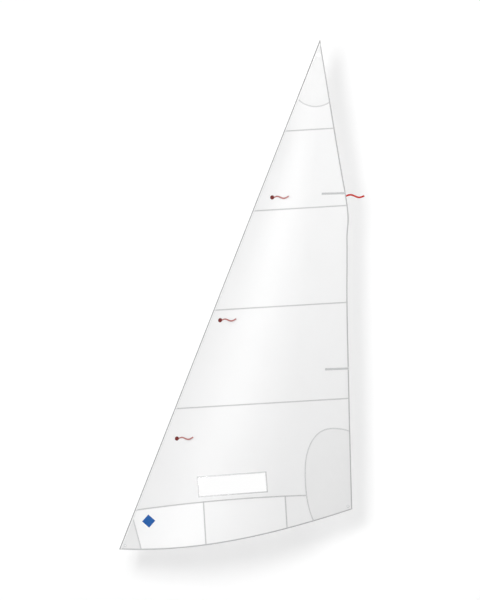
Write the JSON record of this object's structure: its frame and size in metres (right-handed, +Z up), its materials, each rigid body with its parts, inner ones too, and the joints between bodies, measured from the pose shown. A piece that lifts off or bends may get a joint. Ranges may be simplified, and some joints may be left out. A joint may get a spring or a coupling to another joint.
{
  "type": "jib sail",
  "caption": "Cross-cut dinghy jib, filled on starboard tack: sewn cloths, taped edges, corner patches with pressed rings, clear window, leech battens in pockets and swinging telltales.",
  "frame": {"origin": "The tack corner, where the front of the luff bead meets the foot, on the sail's flat middle plane.", "axes": "+Z up, +X aft from luff to leech, +Y to starboard. The luff leans aft 21.5 degrees from +Z. The belly stands out to port, -Y."},
  "size_m": [2.3034, 0.2937, 4.7964],
  "materials": {
    "sailcloth": "woven white polyester sailcloth, resin filled and calendered to a low sheen",
    "patch_cloth": "several plies of the same cloth sewn together, stiffer and less see-through",
    "edge_tape": "grey woven polyester tape",
    "rope": "braided polyester rope",
    "window_film": "clear flexible vinyl, glossy",
    "pocket_tape": "white woven tape",
    "batten": "glass-fibre strip, satin",
    "ring_metal": "pressed stainless steel",
    "port_ribbon": "red spun nylon ribbon",
    "starboard_ribbon": "green spun nylon ribbon",
    "port_dot": "dark red adhesive cloth",
    "starboard_dot": "dark green adhesive cloth",
    "sticker": "blue adhesive film, satin"
  },
  "bodies": {
    "sail": {"head_panel": "sailcloth", "upper_panel": "sailcloth", "middle_panel": "sailcloth", "lower_panel": "sailcloth", "window_panel": "sailcloth", "tack_foot_panel": "sailcloth", "middle_foot_panel": "sailcloth", "clew_foot_panel": "sailcloth", "head_patch_port": "patch_cloth", "head_patch_starboard": "patch_cloth", "tack_patch_port": "patch_cloth", "tack_patch_starboard": "patch_cloth", "clew_patch_port": "patch_cloth", "clew_patch_starboard": "patch_cloth", "luff_tape": "edge_tape", "leech_tape": "edge_tape", "foot_tape": "edge_tape", "luff_rope": "rope", "window_film": "window_film", "upper_batten_pocket": "pocket_tape", "lower_batten_pocket": "pocket_tape", "head_ring": "ring_metal", "tack_ring": "ring_metal", "clew_ring": "ring_metal", "head_ring_washer": "ring_metal", "tack_ring_washer": "ring_metal", "clew_ring_washer": "ring_metal", "upper_telltale_dot_port": "port_dot", "middle_telltale_dot_port": "port_dot", "lower_telltale_dot_port": "port_dot", "upper_telltale_dot_starboard": "starboard_dot", "middle_telltale_dot_starboard": "starboard_dot", "lower_telltale_dot_starboard": "starboard_dot", "tack_sticker": "sticker"},
    "upper_batten": {"upper_batten": "batten"},
    "lower_batten": {"lower_batten": "batten"},
    "upper_telltale_port": {"upper_telltale_port": "port_ribbon"},
    "upper_telltale_starboard": {"upper_telltale_starboard": "starboard_ribbon"},
    "middle_telltale_port": {"middle_telltale_port": "port_ribbon"},
    "middle_telltale_starboard": {"middle_telltale_starboard": "starboard_ribbon"},
    "lower_telltale_port": {"lower_telltale_port": "port_ribbon"},
    "lower_telltale_starboard": {"lower_telltale_starboard": "starboard_ribbon"},
    "leech_telltale": {"leech_telltale": "port_ribbon"}
  },
  "joints": [
    {"name": "upper_batten_slide", "type": "slide", "parent": "sail", "child": "upper_batten", "axis": [0.9777, 0.2082, 0.0277], "range_m": [0, 0.22]},
    {"name": "lower_batten_slide", "type": "slide", "parent": "sail", "child": "lower_batten", "axis": [0.968, 0.2485, 0.0354], "range_m": [0, 0.22]},
    {"name": "upper_telltale_port_swing", "type": "hinge", "parent": "sail", "child": "upper_telltale_port", "pos_m": [1.438, -0.05697, 3.30816], "axis": [-0.3219, -0.9378, 0.1304], "range_deg": [-80, 80]},
    {"name": "upper_telltale_starboard_swing", "type": "hinge", "parent": "sail", "child": "upper_telltale_starboard", "pos_m": [1.43804, -0.05605, 3.30815], "axis": [0.3219, 0.9378, -0.1304], "range_deg": [-80, 80]},
    {"name": "middle_telltale_port_swing", "type": "hinge", "parent": "sail", "child": "middle_telltale_port", "pos_m": [0.94854, -0.04373, 2.15371], "axis": [-0.3813, -0.9125, 0.1483], "range_deg": [-80, 80]},
    {"name": "middle_telltale_starboard_swing", "type": "hinge", "parent": "sail", "child": "middle_telltale_starboard", "pos_m": [0.94854, -0.04293, 2.15371], "axis": [0.3813, 0.9125, -0.1483], "range_deg": [-80, 80]},
    {"name": "lower_telltale_port_swing", "type": "hinge", "parent": "sail", "child": "lower_telltale_port", "pos_m": [0.54243, -0.05439, 1.0417], "axis": [-0.359, -0.9228, 0.1401], "range_deg": [-80, 80]},
    {"name": "lower_telltale_starboard_swing", "type": "hinge", "parent": "sail", "child": "lower_telltale_starboard", "pos_m": [0.54243, -0.05359, 1.0417], "axis": [0.359, 0.9228, -0.1401], "range_deg": [-80, 80]},
    {"name": "leech_telltale_swing", "type": "hinge", "parent": "sail", "child": "leech_telltale", "pos_m": [2.12704, -0.01462, 3.31999], "axis": [-0.2072, 0.9782, -0.0161], "range_deg": [-80, 80]}
  ]
}
